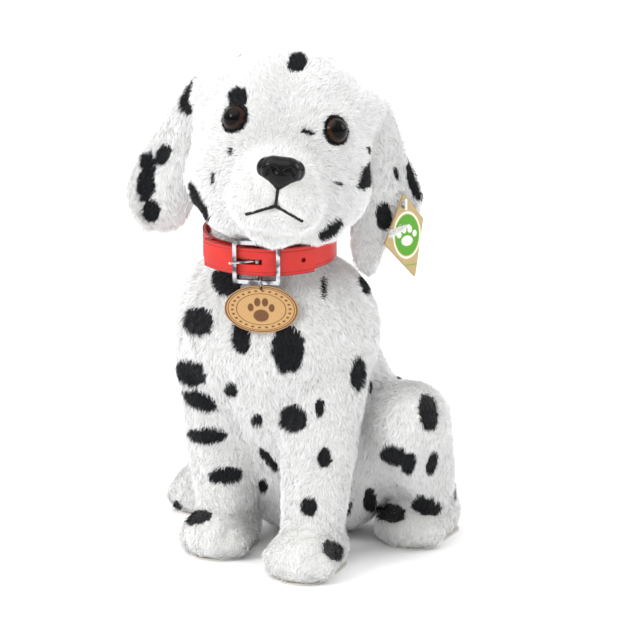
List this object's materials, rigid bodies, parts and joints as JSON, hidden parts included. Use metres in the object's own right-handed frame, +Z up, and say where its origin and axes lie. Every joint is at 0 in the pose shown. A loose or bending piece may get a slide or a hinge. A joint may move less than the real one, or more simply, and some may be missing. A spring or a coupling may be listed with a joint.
{
  "type": "plush dog",
  "caption": "Sitting short-pile plush puppy, white with black spots, floppy ears, curled tail, buckled strap collar with an oval hang tag and a folded ear card.",
  "frame": {"origin": "on the floor under the middle of the toy's box", "axes": "+Z up, the puppy faces -Y, +X is the puppy's left"},
  "size_m": [0.197, 0.2456, 0.2933],
  "materials": {
    "spotted_plush": "short pile, white with black spots",
    "ear_lining": "shorter pile on the underside of the ears",
    "sole_plush": "flattened pile",
    "stuffing": "loose polyester fibre",
    "pellet_bag": "woven bag of pellets",
    "dark_thread": "waxed embroidery thread",
    "eye_resin": "polished, amber rim and black pupil",
    "nose_plastic": "glossy with a fine pebble",
    "washer_plastic": "moulded",
    "red_strap": "coated strap with a satin face",
    "plated_steel": "bright plating",
    "tag_board": "tan board with a printed border",
    "kraft_card": "kraft board with a green oval",
    "clear_nylon": "moulded filament"
  },
  "bodies": {
    "trunk": {"trunk_skin": "spotted_plush", "trunk_stuffing": "stuffing", "pellet_pouch": "pellet_bag", "hind_leg_left_skin": "spotted_plush", "hind_leg_left_stuffing": "stuffing", "hind_sole_left": "sole_plush", "hind_toe_stitches_left": "dark_thread", "hind_leg_right_skin": "spotted_plush", "hind_leg_right_stuffing": "stuffing", "hind_sole_right": "sole_plush", "hind_toe_stitches_right": "dark_thread"},
    "front_leg_left": {"front_leg_left_skin": "spotted_plush", "front_leg_left_stuffing": "stuffing", "front_sole_left": "sole_plush", "front_toe_stitches_left": "dark_thread"},
    "front_leg_right": {"front_leg_right_skin": "spotted_plush", "front_leg_right_stuffing": "stuffing", "front_sole_right": "sole_plush", "front_toe_stitches_right": "dark_thread"},
    "tail": {"tail_skin": "spotted_plush", "tail_stuffing": "stuffing"},
    "head": {"head_skin": "spotted_plush", "head_stuffing": "stuffing", "eye_left_washer": "washer_plastic", "eye_right_washer": "washer_plastic", "nose_washer": "washer_plastic", "eye_left": "eye_resin", "eye_right": "eye_resin", "nose": "nose_plastic", "mouth_stitch": "dark_thread"},
    "ear_left": {"ear_outer_left": "spotted_plush", "ear_lining_left": "ear_lining", "card_pin": "clear_nylon"},
    "ear_right": {"ear_outer_right": "spotted_plush", "ear_lining_right": "ear_lining"},
    "collar": {"collar_strap": "red_strap", "buckle_frame": "plated_steel"},
    "prong": {"buckle_prong": "plated_steel"},
    "tag": {"oval_tag": "tag_board", "tag_ring": "plated_steel"},
    "card": {"ear_card": "kraft_card"}
  },
  "joints": [
    {"name": "head_turn", "type": "hinge", "parent": "trunk", "child": "head", "pos_m": [0, -0.049, 0.1895], "axis": [0.0515, -0.1105, 0.9925], "range_deg": [-15, 15], "stiffness_Nm_per_rad": 0.4},
    {"name": "ear_left_lift", "type": "hinge", "parent": "head", "child": "ear_left", "pos_m": [0.06138, -0.02888, 0.27132], "axis": [-0.4181, -0.9083, -0.0133], "range_deg": [0, 60]},
    {"name": "ear_right_lift", "type": "hinge", "parent": "head", "child": "ear_right", "pos_m": [-0.03397, -0.07334, 0.28424], "axis": [-0.9411, 0.2745, 0.1975], "range_deg": [0, 60]},
    {"name": "tail_sway", "type": "hinge", "parent": "trunk", "child": "tail", "pos_m": [-0.0005, 0.068, 0.029], "axis": [0, 0.4542, 0.8909], "range_deg": [-12, 12], "stiffness_Nm_per_rad": 0.2},
    {"name": "front_leg_left_lift", "type": "hinge", "parent": "trunk", "child": "front_leg_left", "pos_m": [0.0335, -0.047, 0.112], "axis": [-1, 0, 0], "range_deg": [0, 10], "stiffness_Nm_per_rad": 3},
    {"name": "front_leg_right_lift", "type": "hinge", "parent": "trunk", "child": "front_leg_right", "pos_m": [-0.0345, -0.047, 0.112], "axis": [-1, 0, 0], "range_deg": [0, 10], "stiffness_Nm_per_rad": 3},
    {"name": "collar_turn", "type": "hinge", "parent": "trunk", "child": "collar", "pos_m": [0, -0.049, 0.1895], "axis": [0.0515, -0.1105, 0.9925], "range_deg": [-12, 12]},
    {"name": "prong_lift", "type": "hinge", "parent": "collar", "child": "prong", "pos_m": [0.01087, -0.08709, 0.1847], "axis": [0.0515, -0.1105, 0.9925], "range_deg": [0, 50]},
    {"name": "tag_swing", "type": "hinge", "parent": "collar", "child": "tag", "pos_m": [0.0136, -0.08797, 0.17297], "axis": [-0.9609, -0.2767, 0], "range_deg": [0, 60]},
    {"name": "card_swing", "type": "hinge", "parent": "ear_left", "child": "card", "pos_m": [0.07209, -0.02302, 0.21153], "axis": [0.9082, -0.4183, 0.0113], "range_deg": [-15, 15]}
  ]
}
